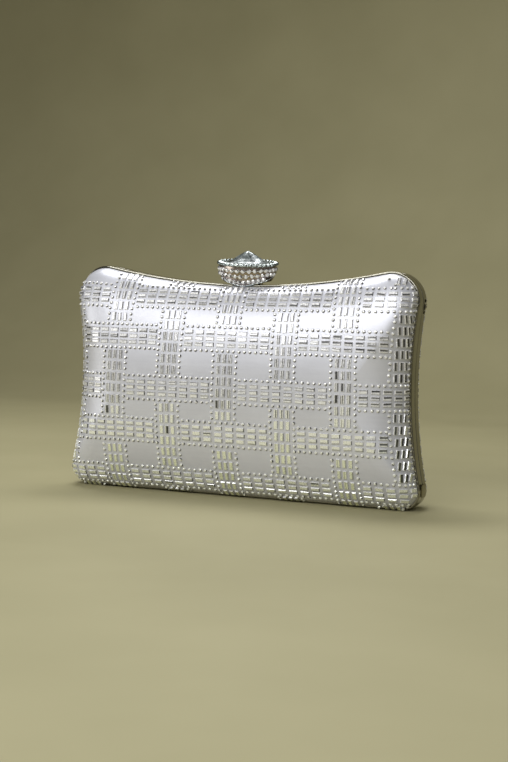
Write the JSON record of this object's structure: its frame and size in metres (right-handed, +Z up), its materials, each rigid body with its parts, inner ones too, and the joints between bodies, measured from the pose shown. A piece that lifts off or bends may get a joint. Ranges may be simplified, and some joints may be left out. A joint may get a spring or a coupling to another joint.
{
  "type": "evening bag",
  "caption": "Hard-case evening bag: two pillow-shaped satin shells with crossed stone bands on a metal frame, hinged below, with a jewelled tilting clasp.",
  "frame": {"origin": "middle of the bottom, on the plane the bag stands on, in the seam between the two rails", "axes": "+Z up, +X to the bag's right side as seen from the front, -Y the front half, +Y the back half"},
  "size_m": [0.2, 0.0512, 0.129],
  "materials": {
    "rail_metal": "polished, lightly warm",
    "shell_board": "matt",
    "satin": "silver-grey satin, soft sheen",
    "lining_cloth": "smooth grey lining",
    "set_stones": "foil-backed cut glass",
    "crystal": "clear cut glass",
    "cup_metal": "polished",
    "hinge_steel": "plated"
  },
  "bodies": {
    "back_half": {"back_frame": "rail_metal", "back_shell": "shell_board", "back_cover": "satin", "back_lining": "lining_cloth", "back_trim": "set_stones", "back_hinge_leaf_left": "hinge_steel", "back_hinge_leaf_right": "hinge_steel", "hinge_pin_left": "hinge_steel", "hinge_pin_right": "hinge_steel", "hinge_guard_left": "rail_metal", "hinge_guard_right": "rail_metal", "strap_lug_left": "rail_metal", "strap_lug_right": "rail_metal", "slip_pocket": "lining_cloth", "pocket_binding": "lining_cloth", "clasp_bracket": "rail_metal", "clasp_pin": "hinge_steel", "clasp_spring": "hinge_steel"},
    "front_half": {"front_frame": "rail_metal", "front_shell": "shell_board", "front_cover": "satin", "front_lining": "lining_cloth", "front_trim": "set_stones", "front_hinge_leaf_left": "hinge_steel", "front_hinge_leaf_right": "hinge_steel", "catch_plate": "rail_metal"},
    "clasp": {"clasp_lever": "rail_metal", "knob_cup": "cup_metal", "knob_pave": "set_stones", "knob_bezel": "cup_metal", "knob_crystal": "crystal"}
  },
  "joints": [
    {"name": "bag_opening", "type": "hinge", "parent": "back_half", "child": "front_half", "pos_m": [0, 0, 0.0022], "axis": [1, 0, 0], "range_deg": [0, 50]},
    {"name": "clasp_tilt", "type": "hinge", "parent": "back_half", "child": "clasp", "pos_m": [0, 0.004, 0.1136], "axis": [-1, 0, 0], "range_deg": [0, 20], "stiffness_Nm_per_rad": 0.03, "springref_deg": -20.05}
  ]
}
